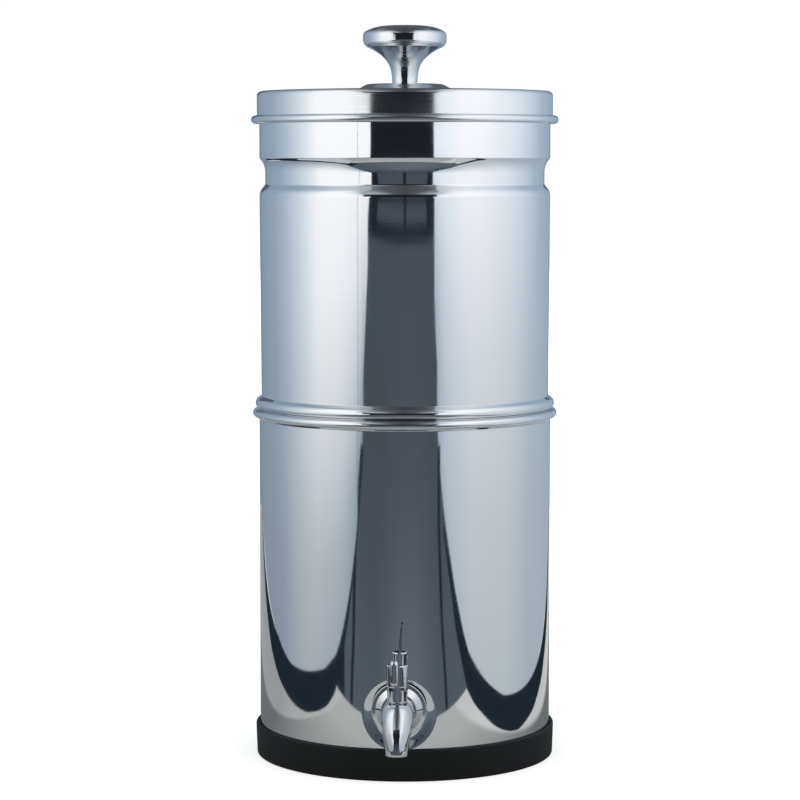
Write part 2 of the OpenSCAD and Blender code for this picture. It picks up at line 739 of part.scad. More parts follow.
// A round nut with two flat wings, screwed up against the floor
module wing_nut(side) {
    color(plastic) translate([side * pitch_r, 0, upper_floor_z - wing_nut_h]) difference() {
        union() {
            cylinder(r = wing_nut_r, h = wing_nut_h);
            for (turn = [0, 180]) rotate([90, 0, turn + 90]) translate([wing_nut_r - 2, 0, -1.5])
                linear_extrude(3) polygon([[0, 0], [wing_span - wing_nut_r, -3],
                    [wing_span - wing_nut_r + 2, -1], [wing_span - wing_nut_r + 1, wing_nut_h - 3],
                    [0, wing_nut_h - 1]]);
        }
        translate([0, 0, -1]) cylinder(r = stem_r + push_gap, h = wing_nut_h + 2);
    }
}

// ---- Floor plugs ----

module blanking_plugs() {
    head_z = upper_floor_z + sheet + washer_t;
    color(plastic) for (side = [-1, 1]) translate([0, side * pitch_r, head_z]) {
        chamfered_rod(plug_r, plug_head_h, 1);
        translate([0, 0, -washer_t - sheet - plug_stem_l])
            cylinder(r = plug_stem_r, h = washer_t + sheet + plug_stem_l + 1);
    }
}

module plug_washers() {
    color(silicone) for (side = [-1, 1]) translate([0, side * pitch_r, upper_floor_z + sheet])
        washer(plug_r - 0.5, plug_stem_r + push_gap, washer_t);
}

module plug_nuts() {
    color(plastic) for (side = [-1, 1]) translate([0, side * pitch_r, upper_floor_z - plug_nut_h])
        difference() {
            cylinder(r = plug_r, h = plug_nut_h, $fn = 6);
            translate([0, 0, -1]) cylinder(r = plug_stem_r + push_gap, h = plug_nut_h + 2);
        }
}

// ---- Lid and knob ----

// The top's outline from the corner to the middle, dropped by d below the outer face
function lid_top(d) = concat(
    blend([boss_foot_r, boss_z - boss_h - d], [boss_r, boss_z - d]), [[0, boss_z - d]]);

module lid() {
    corner = [skirt_r - lid_corner_r, lid_top_z - lid_corner_r];
    bead = [skirt_r + lid_bead_out, lid_bottom_z + lid_bead_r];
    bead_low = acos(-(sheet + lid_bead_out) / lid_bead_r);
    bead_high = acos(-lid_bead_out / lid_bead_r);
    inner_top = lid_top(sheet);
    color(steel) difference() {
        rotate_extrude() polygon(concat(
            arc(bead, lid_bead_r, -bead_low, bead_high, 16), arc(corner, lid_corner_r, 0, 90),
            lid_top(0), [for (i = [len(inner_top) - 1:-1:0]) inner_top[i]],
            arc(corner, lid_corner_r - sheet, 90, 0)));
        translate([0, 0, boss_z - 10]) cylinder(r = knob_screw_r + hole_gap, h = 20);
    }
}

// Radius of the knob's stalk, u being 0 at its foot and 1 under the head
function stalk_r(u) = knob_neck_r + 1.5 * u + (knob_r - 2.8 - 1.5 - knob_neck_r) * pow(u, 3.5);

// A flared stalk, an undercut to the head, an upright band and a low dome
module knob() {
    shoulder_r = 3.4;
    dome_r = knob_r - 1.45;
    dome_z = knob_band_z + knob_band_h + shoulder_r * sin(55);
    color(steel) difference() {
        rotate_extrude() polygon(concat(
            [[0, boss_z]],
            [for (i = [0:14]) let (u = i / 14) [stalk_r(u), boss_z + knob_stalk_h * u]],
            arc([knob_r - 4.5, knob_band_z], 4.5, -40, 0, 4),
            arc([knob_r - shoulder_r, knob_band_z + knob_band_h], shoulder_r, 0, 55, 5),
            [for (i = [1:8]) let (u = 1 - i / 8)
                [dome_r * u, knob_top_z - (knob_top_z - dome_z) * pow(u, 4)]]));
        translate([0, 0, boss_z - 1]) cylinder(r = knob_screw_r + push_gap, h = knob_bore_l + 1);
    }
}

module knob_screw() {
    under_z = boss_z - sheet - knob_washer_t;
    color(steel) difference() {
        union() {
            translate([0, 0, under_z - knob_head_h])
                cylinder(r1 = knob_head_r - 1, r2 = knob_head_r, h = knob_head_h);
            translate([0, 0, under_z - 0.5])
                cylinder(r = knob_screw_r, h = boss_z + knob_bore_l - 2 - under_z);
        }
        for (turn = [0, 90]) rotate([0, 0, turn]) translate([-3, -0.6, under_z - knob_head_h - 1])
            cube([6, 1.2, 2.6]);
    }
}

module knob_washer() {
    color(steel) translate([0, 0, boss_z - sheet - knob_washer_t])
        washer(knob_washer_r, knob_screw_r + push_gap, knob_washer_t);
}

base_ring();
lower_chamber();
tap_gasket();
tap_rosette();
tap_shank();
tap_inner_washer();
tap_back_nut();
tap_body();
ball_seats();
tap_bonnet();
valve_ball();
valve_stem();
stem_o_ring();
tap_handle();
handle_blade();
handle_rivet();
handle_grub_screw();
upper_chamber();
candle_shell(-1);  // candle_shell_left
candle_shell(1);  // candle_shell_right
candle_cup(-1);  // candle_cup_left
candle_cup(1);  // candle_cup_right
candle_washers();
wing_nut(-1);  // wing_nut_left
wing_nut(1);  // wing_nut_right
blanking_plugs();
plug_washers();
plug_nuts();
lid();
knob();
knob_screw();
knob_washer();
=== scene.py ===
"""Looks of a countertop gravity water filter: two polished steel chambers on a rubber ring, a lid
with a mushroom knob, ceramic candles inside and a chromed quarter-turn tap."""
import json
import math

import bmesh
import bpy
from mathutils import Matrix, Vector

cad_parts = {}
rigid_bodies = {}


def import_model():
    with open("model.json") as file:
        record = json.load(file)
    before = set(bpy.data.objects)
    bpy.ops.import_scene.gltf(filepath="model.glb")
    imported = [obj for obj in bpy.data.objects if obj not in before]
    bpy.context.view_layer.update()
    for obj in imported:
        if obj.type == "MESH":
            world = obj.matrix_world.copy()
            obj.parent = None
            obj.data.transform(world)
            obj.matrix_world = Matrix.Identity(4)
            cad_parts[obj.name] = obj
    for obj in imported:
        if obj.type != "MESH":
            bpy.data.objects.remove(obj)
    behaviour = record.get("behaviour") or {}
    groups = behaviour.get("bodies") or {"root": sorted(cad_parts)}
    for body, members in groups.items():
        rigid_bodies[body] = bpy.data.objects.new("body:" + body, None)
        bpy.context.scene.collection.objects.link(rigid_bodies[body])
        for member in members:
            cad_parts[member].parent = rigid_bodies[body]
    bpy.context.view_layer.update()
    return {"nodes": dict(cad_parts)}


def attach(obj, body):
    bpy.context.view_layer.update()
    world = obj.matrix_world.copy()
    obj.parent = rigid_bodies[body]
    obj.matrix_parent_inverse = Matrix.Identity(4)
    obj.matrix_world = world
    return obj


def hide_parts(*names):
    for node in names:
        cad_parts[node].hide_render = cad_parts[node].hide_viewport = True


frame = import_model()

# ---- Sizes of the filter in millimetres, as the solids have them ----
WALL_R = 108.0          # outside of the lower chamber
SHEET = 0.8
SEAT_Z = 258.1          # the upper chamber's bead rests on the lower rim here
FOOT_R = 105.6          # the upper chamber's foot, inside the lower one
UPPER_R = 106.35        # upper wall just above the bead
TOP_R = 107.2           # upper wall from the groove upwards
RIM_TOP_Z = 490.3
GROOVE_LOW_Z, GROOVE_HIGH_Z, GROOVE_DEPTH = 415.2, 442.6, 4.2
TAP_Z = 52.0            # the tap's axis
STEM_Y = -140.0         # the tap's upright stem
BARREL_R = 11.65
BODY_TOP_Z = 64.2
STOP_Z = 72.4           # lower step of the bonnet
HUB_LOW_Z, HUB_TOP_Z = 75.2, 90.2
STEP_DEG, STEP_SLACK_DEG = -95.0, 0.5       # where the bonnet's and the hub's steps meet at rest
PITCH_R = 52.0          # candles and plugs from the vessel's axis
FLOOR_Z = 232.0         # underside of the upper chamber's floor
DIMPLE_Z = 48.0         # middle of the shallow dent round the rosette
DIMPLE_SPAN = 18.0, 27.0                    # inner and outer radius of its slope

# Heading of the camera and of the studio's walls about the vessel, in degrees
HEADING = 2.1


# ---- Small tools ----

def linear(code):
    """A colour socket's value from an sRGB hex code."""
    parts = [int(code[i:i + 2], 16) / 255 for i in (0, 2, 4)]
    return (*[c / 12.92 if c <= 0.04045 else ((c + 0.055) / 1.055) ** 2.4 for c in parts], 1.0)


def add(tree, kind, inputs=None, **settings):
    """Adds a node: inputs takes a value or another node's output for each socket."""
    made = tree.nodes.new(kind)
    for key, value in settings.items():
        setattr(made, key, value)
    for key, value in (inputs or {}).items():
        if isinstance(value, bpy.types.NodeSocket):
            tree.links.new(value, made.inputs[key])
        else:
            made.inputs[key].default_value = value
    return made


def maths(tree, operation, a, b=0.0):
    """The result of one sum on two values."""
    return add(tree, "ShaderNodeMath", {0: a, 1: b}, operation=operation).outputs["Value"]


def vectors(tree, operation, a, b=(0, 0, 0)):
    """The result of one sum on two vectors."""
    return add(tree, "ShaderNodeVectorMath", {0: a, 1: b}, operation=operation).outputs["Vector"]


def length(tree, vector):
    return add(tree, "ShaderNodeVectorMath", {0: vector}, operation="LENGTH").outputs["Value"]


def remapped(tree, value, low, high, to_low=0.0, to_high=1.0, ease="LINEAR"):
    """A value carried from the span low, high to the span to_low, to_high, and held at its ends."""
    return add(tree, "ShaderNodeMapRange",
               {"Value": value, "From Min": low, "From Max": high, "To Min": to_low, "To Max": to_high},
               interpolation_type=ease).outputs["Result"]


def blended(tree, share, first, second):
    """A colour between two."""
    return add(tree, "ShaderNodeMix", {"Factor": share, 6: first, 7: second}, data_type="RGBA").outputs[2]


def noise(tree, place, scale, detail, roughness=0.5):
    return add(tree, "ShaderNodeTexNoise", {"Vector": place, "Scale": scale, "Detail": detail,
                                            "Roughness": roughness}).outputs["Fac"]


def relief(tree, height, distance, under=None):
    """The normal of a relief whose full height is distance in metres, on top of the normal under."""
    inputs = {"Height": height, "Strength": 1.0, "Distance": distance}
    if under is not None:
        inputs["Normal"] = under
    return add(tree, "ShaderNodeBump", inputs).outputs["Normal"]


def ramped(tree, share, colours):
    """A colour ramp over share: colours gives (position, hex code or level of grey) pairs."""
    ramp = add(tree, "ShaderNodeValToRGB", {"Fac": share})
    row = ramp.color_ramp.elements
    while len(row) < len(colours):
        row.new(0.5)
    for stop, (place, tone) in zip(row, colours):
        stop.position, stop.color = place, linear(tone) if isinstance(tone, str) else (tone, tone, tone, 1)
    return ramp.outputs["Color"]


def new_material(name):
    """An empty material and its tree."""
    made = bpy.data.materials.new(name)
    made.use_nodes = True
    made.node_tree.nodes.clear()
    return made, made.node_tree


def finish(tree, shader):
    add(tree, "ShaderNodeOutputMaterial", {"Surface": shader})


def surface(tree, inputs):
    finish(tree, add(tree, "ShaderNodeBsdfPrincipled", inputs).outputs["BSDF"])


def glowing(tree, colour, strength=1.0):
    finish(tree, add(tree, "ShaderNodeEmission", {"Color": colour, "Strength": strength}).outputs["Emission"])


def millimetres(tree):
    """The piece's own coordinates, in millimetres."""
    own = add(tree, "ShaderNodeTexCoord").outputs["Object"]
    return add(tree, "ShaderNodeMapping", {"Vector": own, "Scale": (1000,) * 3}).outputs["Vector"]


def split(tree, place):
    """The outputs X, Y and Z of a place."""
    return add(tree, "ShaderNodeSeparateXYZ", {"Vector": place}).outputs


def in_studio(tree):
    """The outputs X, Y and Z of the millimetres along the studio's walls."""
    turned = add(tree, "ShaderNodeMapping",
                 {"Vector": millimetres(tree), "Rotation": (0, 0, -math.radians(HEADING))})
    return split(tree, turned.outputs["Vector"])


# ---- Finishes ----

def turned_coordinates(tree, along, across):
    """Coordinates that stretch a pattern round the vessel's axis, as a polishing wheel leaves it:
    along and across are repeats per millimetre round the axis and over the profile."""
    place = millimetres(tree)
    flat = vectors(tree, "MULTIPLY", place, (1, 1, 0))
    over = maths(tree, "ADD", length(tree, flat), split(tree, place)["Z"])
    lift = add(tree, "ShaderNodeCombineXYZ", {"Z": maths(tree, "MULTIPLY", over, across)})
    return vectors(tree, "ADD", vectors(tree, "MULTIPLY", flat, (along, along, 0)), lift.outputs["Vector"])


def wheel_direction(tree):
    """The way the polishing wheel runs: round the vessel's axis."""
    return vectors(tree, "NORMALIZE", vectors(tree, "CROSS_PRODUCT", (0, 0, 1), millimetres(tree)))


def tap_dimple(tree):
    """The tap's nut draws the sheet in round the rosette: 0 behind the rosette, 1 outside the dimple."""
    off = vectors(tree, "SUBTRACT", millimetres(tree), (0, 0, DIMPLE_Z))
    return remapped(tree, length(tree, vectors(tree, "MULTIPLY", off, (1, 0, 1))), *DIMPLE_SPAN,
                    ease="SMOOTHSTEP")


def steel_finish(name, pale, dim, smooth, rough, line_bump, swell, streak=0.0, dimple=0.0):
    """Austenitic stainless sheet, spun and then polished with a wheel. The eye sees a mirror with a
    faint blue-grey cast, hair lines round the vessel and slow cloudy changes in gloss. Real hair lines
    are about 0.05 mm apart; they are drawn 0.7 mm apart so that they show. streak is how much more the
    lines blur a reflection across than along, dimple the depth of the dent round the tap in metres."""
    made, tree = new_material(name)
    hair = noise(tree, turned_coordinates(tree, 0.012, 1.4), 1.0, 3.0, 0.6)
    cloud = noise(tree, millimetres(tree), 0.03, 2.0)
    wave = noise(tree, millimetres(tree), 0.018, 1.0)
    dent = relief(tree, wave, swell)
    if dimple:
        dent = relief(tree, tap_dimple(tree), dimple, dent)
    surface(tree, {"Base Color": blended(tree, hair, linear(pale), linear(dim)), "Metallic": 1.0,
                   "Anisotropic": streak, "Tangent": wheel_direction(tree),
                   "Roughness": remapped(tree, maths(tree, "MULTIPLY", hair, cloud), 0.1, 0.5, smooth, rough),
                   "Normal": relief(tree, hair, line_bump, dent)})
    return made


# Mirror-polished sheet of the lower chamber, drawn in a little round the tap
dimpled_steel = steel_finish("mirror_polished_stainless_dimpled", "DBDCDE", "D6D8DA", 0.03, 0.08, 0.0000012,
                             0.00003, 0.7, 0.0014)
# Mirror-polished sheet of the upper chamber
mirror_steel = steel_finish("mirror_polished_stainless", "DBDCDE", "D6D8DA", 0.03, 0.08, 0.0000012, 0.00003,
                            0.7)
# Sheet of the lid, polished less finely, so that edges in it blur
satin_steel = steel_finish("satin_polished_stainless", "DCDDDE", "D3D5D7", 0.09, 0.19, 0.000003, 0.00004)
# Turned and polished bar steel of the knob
knob_steel = steel_finish("turned_polished_stainless", "DADBDC", "D0D2D5", 0.03, 0.08, 0.000004, 0.00003)


def plated_finish(name, pale, dim, smooth, rough):
    """Bright metal over a buffed casting or a rolled part: a cool mirror with a soft orange peel and a
    few duller patches from handling."""
    made, tree = new_material(name)
    place = millimetres(tree)
    touch = noise(tree, place, 0.12, 4.0)
    surface(tree, {"Base Color": blended(tree, touch, linear(pale), linear(dim)), "Metallic": 1.0,
                   "Roughness": remapped(tree, touch, 0.35, 0.7, smooth, rough),
                   "Normal": relief(tree, noise(tree, place, 0.35, 2.0), 0.00003)})
    return made


# Bright chromium plate on the tap's polished brass castings
chromed_brass = plated_finish("bright_chromium_plate", "D8D9DB", "C9CACD", 0.05, 0.11)
# Thin rolled strip of the lever's blade, duller than the plated castings; its darker colour is painted shade,
# so that the blade reads as a dark line against the wall it mirrors
blade_steel = plated_finish("dull_stainless_strip", "A3A19D", "8D8B88", 0.12, 0.26)
# Small steel parts, plain and bright
bright_steel = plated_finish("bright_stainless_hardware", "D2D2D0", "BFC0C0", 0.08, 0.2)


def machined_brass_finish():
    """Free-cutting brass, turned on a lathe: warm yellow with a dull sheen and fine tool marks."""
    made, tree = new_material("turned_brass")
    place = millimetres(tree)
    marks = add(tree, "ShaderNodeTexWave", {"Vector": place, "Scale": 0.6, "Distortion": 0.6},
                bands_direction="Y").outputs["Fac"]
    stain = noise(tree, place, 0.15, 3.0)
    surface(tree, {"Base Color": blended(tree, stain, linear("D9BC7C"), linear("B4924F")), "Metallic": 1.0,
                   "Roughness": remapped(tree, marks, 0.0, 1.0, 0.2, 0.36),
                   "Normal": relief(tree, marks, 0.00002)})
    return made


turned_brass = machined_brass_finish()


def moulded_finish(name, pale, dim, grain, depth, smooth, rough, glow=0.0, sheen=0.5):
    """Moulded or fired material: grain is repeats per millimetre of its surface texture, depth its
    height in metres, glow the light that passes under a pale skin, and sheen the share of gloss."""
    made, tree = new_material(name)
    place = millimetres(tree)
    skin = noise(tree, place, grain, 4.0, 0.6)
    patch = noise(tree, place, 0.05, 3.0)
    surface(tree, {"Base Color": blended(tree, patch, linear(pale), linear(dim)),
                   "Roughness": remapped(tree, skin, 0.3, 0.7, smooth, rough), "Specular IOR Level": sheen,
                   "Subsurface Weight": glow, "Subsurface Radius": (0.002, 0.002, 0.002),
                   "Normal": relief(tree, skin, depth)})
    return made


# Moulded EPDM rubber of the base ring: near black, satin, with a fine matt grain
black_rubber = moulded_finish("moulded_black_rubber", "0B0E11", "07090C", 1.6, 0.00005, 0.5, 0.7, sheen=0.3)
# Silicone washers: grey, soft and slightly waxy
grey_silicone = moulded_finish("moulded_grey_silicone", "9A9DA2", "85888D", 1.2, 0.00003, 0.4, 0.55, 0.15)
# Fired porous ceramic of the candles: off-white, matt, with a fine gritty skin
fired_ceramic = moulded_finish("fired_porous_ceramic", "F3F0E7", "E6E1D4", 1.1, 0.00012, 0.7, 0.9)
# Injection-moulded polypropylene of cups, nuts and plugs: white with a soft gloss
white_plastic = moulded_finish("moulded_white_polypropylene", "ECECEA", "E0E0DD", 0.8, 0.00003, 0.26, 0.4,
                               0.1)
# Sintered PTFE of the ball's seats: waxy white
seat_plastic = moulded_finish("sintered_ptfe", "F5F5F2", "E9E9E5", 1.0, 0.00002, 0.35, 0.5, 0.1)


# ---- Shapes ----

MERGE = 1e-7            # metres between points that become one


def arc(centre, radius, start, end, steps):
    """Points of an arc in the plane of an outline."""
    turns = [math.radians(start + (end - start) * i / steps) for i in range(steps + 1)]
    return [(centre[0] + radius * math.cos(turn), centre[1] + radius * math.sin(turn)) for turn in turns]


def softened(corners):
    """An outline from corners (x, y) or (x, y, radius): each corner with a radius becomes an arc, and
    long straight runs get a point near each end, so that their shading stays flat."""
    step_deg, long_run, margin = 9, 1.6, 0.3
    count, outline = len(corners), []
    for i, corner in enumerate(corners):
        here = Vector(corner[:2])
        if len(corner) < 3:
            outline.append(here)
            continue
        back = Vector(corners[i - 1][:2]) - here
        on = Vector(corners[(i + 1) % count][:2]) - here
        opening = back.angle(on)
        run = min(corner[2] / math.tan(opening / 2), 0.48 * min(back.length, on.length))
        radius = run * math.tan(opening / 2)
        middle = here + (back.normalized() + on.normalized()).normalized() * radius / math.sin(opening / 2)
        first, last = here + back.normalized() * run - middle, here + on.normalized() * run - middle
        steps = max(2, round(math.degrees(first.angle(last)) / step_deg))
        start, turn = math.atan2(first.y, first.x), first.angle_signed(last)
        for k in range(steps + 1):
            angle = start - turn * k / steps
            outline.append(middle + Vector((math.cos(angle), math.sin(angle))) * radius)
    held = []
    for a, b in zip(outline, outline[1:] + outline[:1]):
        held.append(a)
        run = (b - a).length
        if run > long_run:
            held += [a.lerp(b, margin / run), a.lerp(b, 1 - margin / run)]
    return held


def shaded(mesh, crease):
    """Smooth shading with creases along the edges that turn more than crease degrees."""
    for face in mesh.faces:
        face.smooth = True
    for edge in mesh.edges:
        edge.smooth = len(edge.link_faces) != 2 or edge.calc_face_angle(0) < math.radians(crease)


def placed(name, mesh, material):
    """A new object from a mesh in metres, which is used up."""
    data = bpy.data.meshes.new(name)
    mesh.to_mesh(data)
    mesh.free()
    made = bpy.data.objects.new(name, data)
    bpy.context.scene.collection.objects.link(made)
    data.materials.append(material)
    return made


def cleaned(mesh, place, crease=34):
    """Merges doubled points, turns the faces outwards and puts the mesh in place."""
    bmesh.ops.remove_doubles(mesh, verts=mesh.verts[:], dist=MERGE)
    bmesh.ops.recalc_face_normals(mesh, faces=mesh.faces[:])
    bmesh.ops.transform(mesh, matrix=place, verts=mesh.verts[:])
    shaded(mesh, crease)
    return mesh


def piece(name, mesh, material, body, slot, *nodes):
    """A finished piece from a mesh in metres: it rides on a body and stands for the nodes."""
    made = placed(name, mesh, material)
    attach(made, body)
    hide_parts(*nodes)
    return made


def spun(outline, place=Matrix(), steps=96):
    """A closed shape turned round +Z from an outline of (radius, height) in mm, put in place in metres."""
    mesh = bmesh.new()
    ring = [mesh.verts.new((x / 1000, 0, y / 1000)) for x, y in softened(outline)]
    edges = [mesh.edges.new(pair) for pair in zip(ring, ring[1:] + ring[:1])]
    bmesh.ops.spin(mesh, geom=ring + edges, cent=(0, 0, 0), axis=(0, 0, 1), dvec=(0, 0, 0), angle=math.tau,
                   steps=steps, use_merge=True, use_normal_flip=False, use_duplicate=False)
    return cleaned(mesh, place)


def joined(*meshes):
    """One mesh from several closed ones."""
    whole = bmesh.new()
    for part in meshes:
        data = bpy.data.meshes.new("part")
        part.to_mesh(data)
        part.free()
        whole.from_mesh(data)
        bpy.data.meshes.remove(data)
    return whole


def shifted(x, y, z):
    """A place x, y, z millimetres from the origin."""
    return Matrix.Translation(Vector((x, y, z)) / 1000)


def on_tap_axis(out):
    """+Z becomes the way out of the wall along the tap's axis, from out mm off the wall."""
    return shifted(0, -WALL_R - out, TAP_Z) @ Matrix.Rotation(math.radians(90), 4, "X")


def on_stem(x=0.0, y=0.0, z=0.0):
    """A place x, y, z millimetres from the foot of the stem's axis."""
    return shifted(x, STEM_Y + y, z)


# ---- Base ring and lower chamber ----

base_ring = piece("rubber_base_ring", spun([
    (90, 0, 1), (110.45, 0, 1.2), (111.25, 23, 1.3), (108.3, 23, 0.5), (108.3, 5), (90, 5, 1)],
    steps=192), black_rubber, "vessel", "black_rubber", "base_ring")

# The sheet's floor turns up into the wall, and the wall's top is rolled outwards into the rim
rim = arc((WALL_R + 1.6, SEAT_Z - 3.2), 3.2, -70, 90, 16)
lower_chamber = piece("lower_chamber_shell", spun(
    [(0, 5), (WALL_R, 5, 6), (WALL_R, SEAT_Z - 7.6, 0.3)] + rim + [
     (WALL_R - SHEET, SEAT_Z, 0.5), (WALL_R - SHEET, 5.8, 5.2), (0, 5.8)], steps=256),
    dimpled_steel, "vessel", "polished_steel", "lower_chamber")

# ---- Upper chamber ----

# The bead has a flat underside, a round nose and a rounded back that meets the wall in a crease
bead = arc((UPPER_R + 0.7, SEAT_Z + 3.9), 3.8, -75, 0, 10) + arc((UPPER_R - 0.5, SEAT_Z + 3.9), 5, 0, 60, 10)


def groove(radius):
    """The pressed groove from below to above: a soft shoulder, a flank that turns tightly into the
    floor, and a wide cove that runs out into the upper flank and its slightly rounded edge."""
    shoulder_r, hollow_r, cove_r, edge_r, tilt = 8, 2, 14, 0.8, 38
    floor_r = radius - GROOVE_DEPTH
    flank = GROOVE_DEPTH / math.tan(math.radians(tilt))
    ease = math.tan(math.radians(tilt / 2))
    hollow_z = GROOVE_LOW_Z + flank + (shoulder_r + hollow_r) * ease
    cove_z = GROOVE_HIGH_Z - flank - cove_r * ease
    return (arc((radius - shoulder_r, GROOVE_LOW_Z), shoulder_r, 0, tilt, 8) +
            arc((floor_r + hollow_r, hollow_z), hollow_r, 180 + tilt, 180, 6) +
            arc((floor_r + cove_r, cove_z), cove_r, 180, 180 - tilt, 10) + [(radius, GROOVE_HIGH_Z, edge_r)])


roll = arc((TOP_R - 1.8, RIM_TOP_Z - 1.8), 1.8, 0, 200, 14)
upper_outline = (
    [(0, FLOOR_Z), (FOOT_R, FLOOR_Z, 6), (FOOT_R, SEAT_Z, 0.3), (WALL_R, SEAT_Z)] + bead +
    [(UPPER_R, SEAT_Z + 9.6, 0.25)] + groove(TOP_R) + roll + [(TOP_R - SHEET, RIM_TOP_Z - 5)] +
    [(point[0] - SHEET, point[1]) for point in reversed(groove(TOP_R))] +
    [(UPPER_R - SHEET, SEAT_Z + 9.6), (FOOT_R - SHEET, SEAT_Z), (FOOT_R - SHEET, FLOOR_Z + SHEET, 5.2),
     (0, FLOOR_Z + SHEET)])
upper_chamber = piece("upper_chamber_shell", spun(upper_outline, steps=256),
                      mirror_steel, "upper_vessel", "polished_steel", "upper_chamber")

# ---- Lid ----

LID_TOP_Z, LID_LOW_Z, SKIRT_R, BOSS_Z = 491.4, 467.7, 108.95, 496.9
LID_EDGE_R = 3.4        # the lid's top turns down into the skirt
curl = arc((SKIRT_R + 1.25, LID_LOW_Z + 3.0), 3.0, -133.1, 114.6, 24)
# The middle rises in a soft step from 37 to 26 mm off the axis
boss = [(37 - 11 * i / 10, 492.9 + 4 * (1 - math.cos(math.pi * i / 10)) / 2) for i in range(11)]
lid = piece("lid_shell", spun(
    curl + arc((SKIRT_R - LID_EDGE_R, LID_TOP_Z - LID_EDGE_R), LID_EDGE_R, 0, 90, 12) + boss +
    [(0, BOSS_Z), (0, BOSS_Z - SHEET)] + [(x, y - SHEET) for x, y in reversed(boss)] +
    arc((SKIRT_R - LID_EDGE_R, LID_TOP_Z - LID_EDGE_R), LID_EDGE_R - SHEET, 90, 0, 12), steps=256),
    satin_steel, "lid_assembly", "polished_steel", "lid")

# ---- Knob ----

KNOB_TOP_Z, DOME_LOW_Z = 539.7, 535.18
# The stalk flares out under the head, whose top is nearly flat
stalk = [(9.2 + 1.5 * u + 17.1 * u ** 3.5, BOSS_Z + 27 * u) for u in [i / 28 for i in range(29)]]
dome = [(29.15 * u, KNOB_TOP_Z - (KNOB_TOP_Z - DOME_LOW_Z) * u ** 4)
        for u in [1 - i / 16 for i in range(1, 17)]]
knob = piece("mushroom_knob", spun(
    [(0, BOSS_Z)] + stalk + arc((26.1, 528.4), 4.5, -40, 0, 8) + arc((27.2, 532.4), 3.4, 0, 55, 10) + dome,
    steps=160), knob_steel, "lid_assembly", "knob_metal", "knob")

# ---- Tap ----

rosette = piece("tap_rosette_plate", spun([
    (8.1, 0), (19.6, 0, 0.2), (19.6, 1.45, 0.6), (16.8, 1.7, 0.25), (12.9, 5, 0.2), (8.1, 5)],
    on_tap_axis(1.5), 128), chromed_brass, "vessel", "chrome_plate", "tap_rosette")


# Centre line of the spout: a bend, then a run whose lean eases off to the tilted mouth
BEND_OUT, BEND_R, BEND_DEG = 24.65, 21.2, 63.0
MOUTH_OUT, MOUTH_Z, MOUTH_SLOPE = 47.0, 28.2, 85.0
# Rings of the run: off the wall, height, slope, radius
SPOUT_RUN = ((44.1, 39.22, 67, 9.38), (44.59, 38.02, 69.5, 9.17), (45.11, 36.55, 71.5, 8.92),
             (45.58, 35.07, 73.5, 8.69), (46.27, 32.49, 76.5, 8.36))
# Rings of the barrel's collar and of the barrel: off the wall, radius
BARREL = ((6.5, 12.8), (6.7, 13.0), (8.2, 13.0), (8.5, 12.7), (8.55, 11.75), (9, BARREL_R), (16, BARREL_R),
          (20, BARREL_R), (24, BARREL_R))
# Rings of the mouth's lip and of the bore: height over the mouth's face, radius
MOUTH = ((1.7, 8.1), (1.3, 8.06), (0.95, 7.98), (0.62, 7.83), (0.34, 7.6), (0.13, 7.28), (0.02, 6.9),
         (0, 6.6), (0, 5.3), (0.08, 5.02), (0.3, 4.9), (5.2, 4.9), (8.8, 4.9), (9, 3.9), (14, 3.9), (15, 0.5))


def spout_place(out, z, slope):
    """Frame of a ring of the spout, whose +Z falls away from level by slope degrees."""
    return shifted(0, -WALL_R - out, z) @ Matrix.Rotation(math.radians(90 + slope), 4, "X")


def ring_of_edges(mesh, place, radius):
    made = bmesh.ops.create_circle(mesh, cap_ends=False, radius=radius / 1000, segments=88, matrix=place)
    return list({edge for vert in made["verts"] for edge in vert.link_edges})


def tap_body_mesh():
    """The barrel bends down into the tapering spout, ends in a rounded lip and has an open bore."""
    mesh = bmesh.new()
    places = [(on_tap_axis(out), radius) for out, radius in BARREL]
    for u in [i / 32 for i in range(33)]:
        angle = math.radians(BEND_DEG * u)
        out, radius = BEND_OUT + BEND_R * math.sin(angle), BARREL_R - 2.05 * u ** 1.9
        swell = 1.2 * math.exp(-((out - 34) / 6) ** 2)      # the top rises a little under the stem
        places.append((spout_place(out, TAP_Z - BEND_R * (1 - math.cos(angle)), BEND_DEG * u) @
                       shifted(0, swell, 0) @ Matrix.Diagonal((1, 1 + swell / radius, 1, 1)), radius))
    places += [(spout_place(out, z, slope), radius) for out, z, slope, radius in SPOUT_RUN]
    mouth = spout_place(MOUTH_OUT, MOUTH_Z, MOUTH_SLOPE)
    places += [(mouth @ shifted(0, 0, -over), radius) for over, radius in MOUTH]
    rings = [ring_of_edges(mesh, place, radius) for place, radius in places]
    for a, b in zip(rings, rings[1:]):
        bmesh.ops.bridge_loops(mesh, edges=a + b)
    bmesh.ops.holes_fill(mesh, edges=rings[0] + rings[-1], sides=0)
    return cleaned(mesh, Matrix())


neck = spun([(0, TAP_Z), (7.2, TAP_Z), (7.2, BODY_TOP_Z, 0.35), (4, BODY_TOP_Z)], on_stem(), 96)
tap_body = piece("tap_barrel_and_spout", joined(tap_body_mesh(), neck), chromed_brass, "vessel",
                 "chrome_plate", "tap_body")


